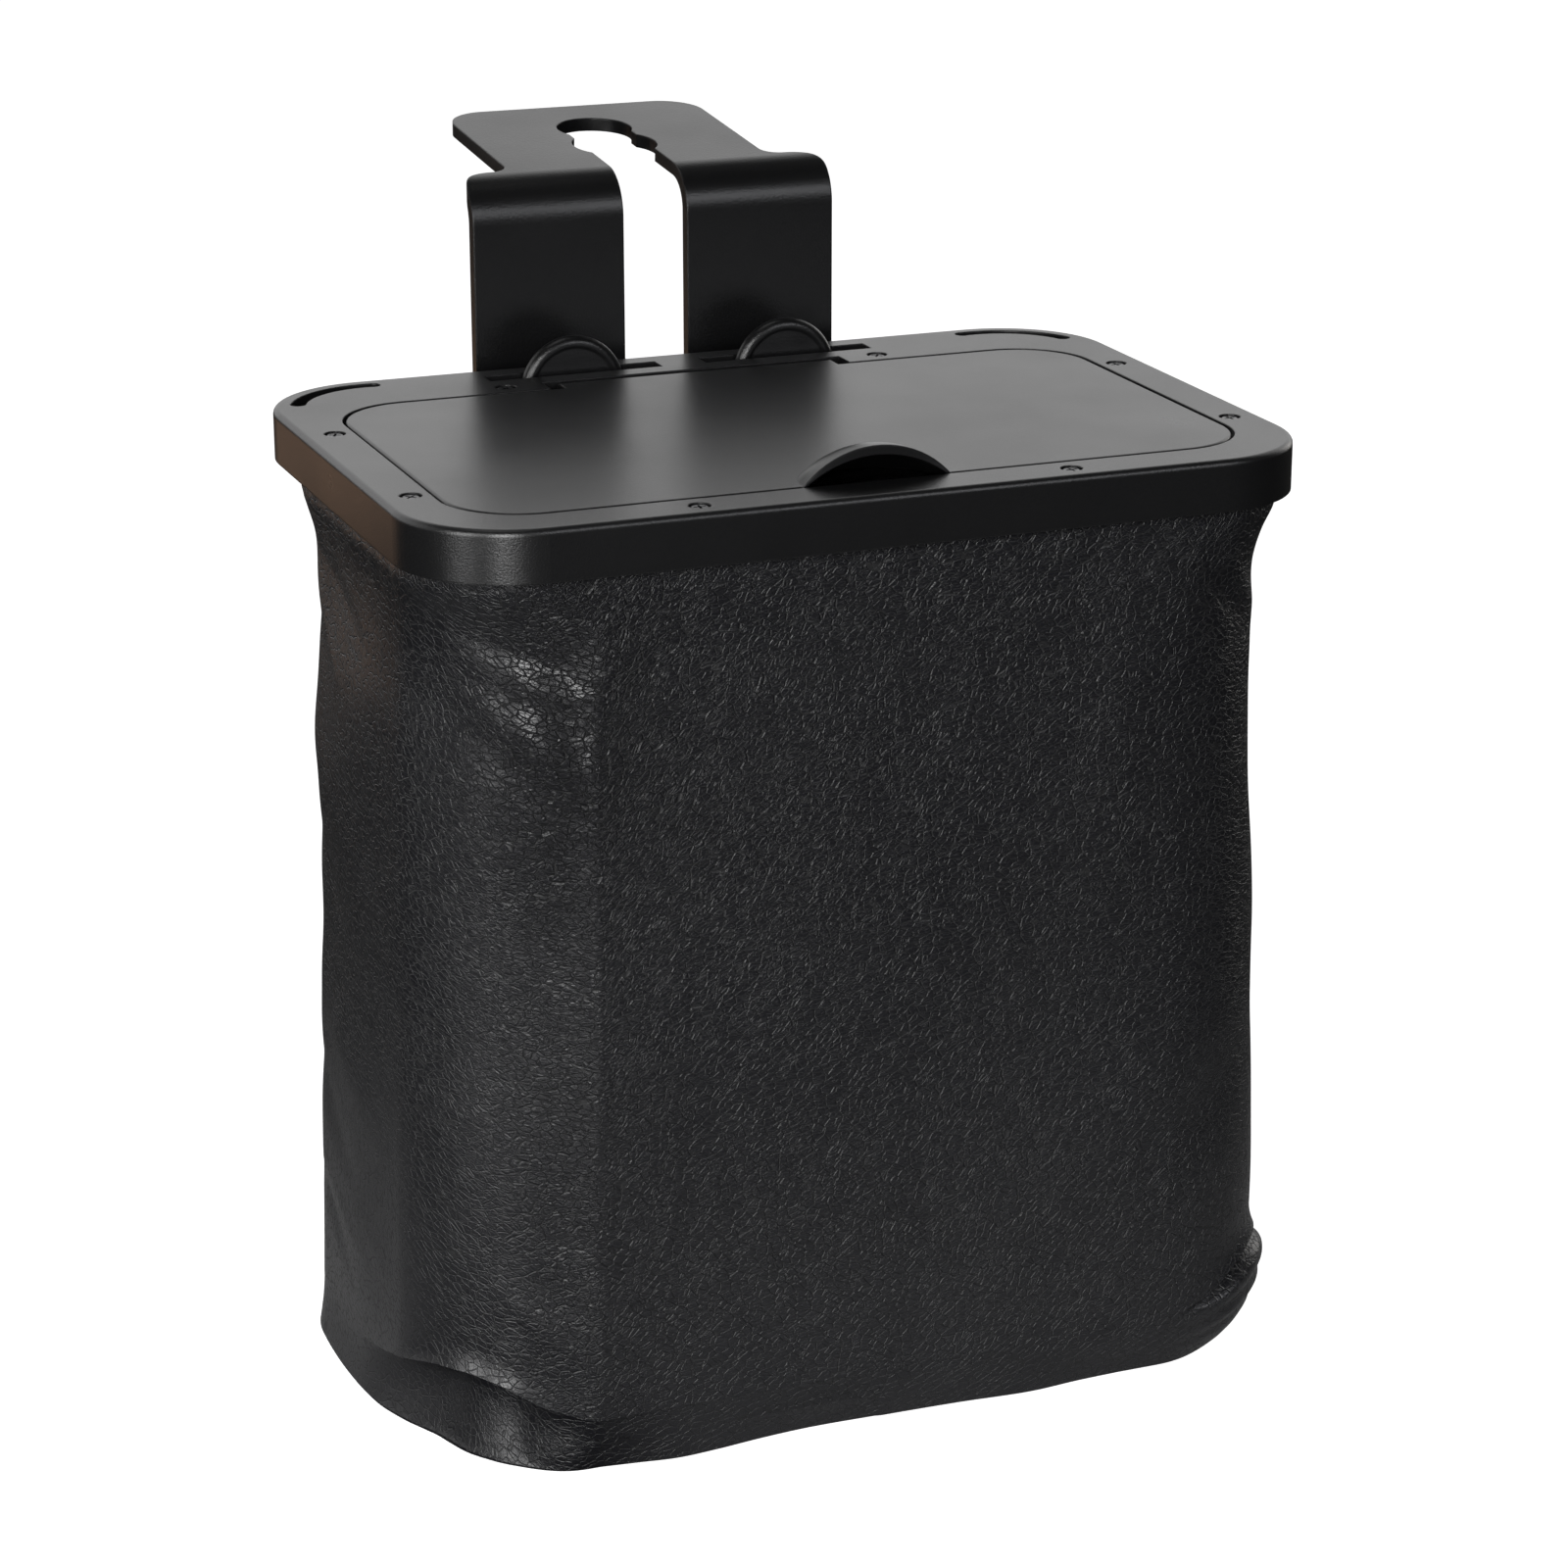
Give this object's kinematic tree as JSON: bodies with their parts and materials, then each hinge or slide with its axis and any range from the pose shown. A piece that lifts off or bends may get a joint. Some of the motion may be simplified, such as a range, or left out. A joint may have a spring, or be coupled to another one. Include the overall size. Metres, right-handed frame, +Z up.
{
  "type": "car waste bin",
  "caption": "Hanging waste bin: soft leather bag with rounded corners under a moulded frame with a hinged lid, carried by a keyhole bracket for a headrest post.",
  "frame": {"origin": "centre of the bag's base, level with the surface it can stand on", "axes": "+Z up, -Y towards the front with the finger hood, +X to the right as seen from the front"},
  "size_m": [0.2498, 0.2506, 0.3103],
  "materials": {
    "top_frame": "satin",
    "lid": "satin",
    "hinge_pins": "plain",
    "frame_screws": "blackened",
    "clamping_ring": "satin",
    "headrest_bracket": "fine texture",
    "outer_bag": "pebbled grain",
    "bag_lining": "plain weave",
    "front_board": "fibre board",
    "back_board": "fibre board",
    "base_board": "fibre board"
  },
  "bodies": {
    "bin": {"top_frame": "top_frame", "hinge_pins": "hinge_pins", "frame_screws": "frame_screws", "clamping_ring": "clamping_ring", "headrest_bracket": "headrest_bracket", "outer_bag": "outer_bag", "bag_lining": "bag_lining", "front_board": "front_board", "back_board": "back_board", "base_board": "base_board"},
    "lid": {"lid": "lid"}
  },
  "joints": [
    {"name": "lid_hinge", "type": "hinge", "parent": "bin", "child": "lid", "pos_m": [0, 0.0589, 0.2504], "axis": [-1, 0, 0], "range_deg": [0, 95]}
  ]
}
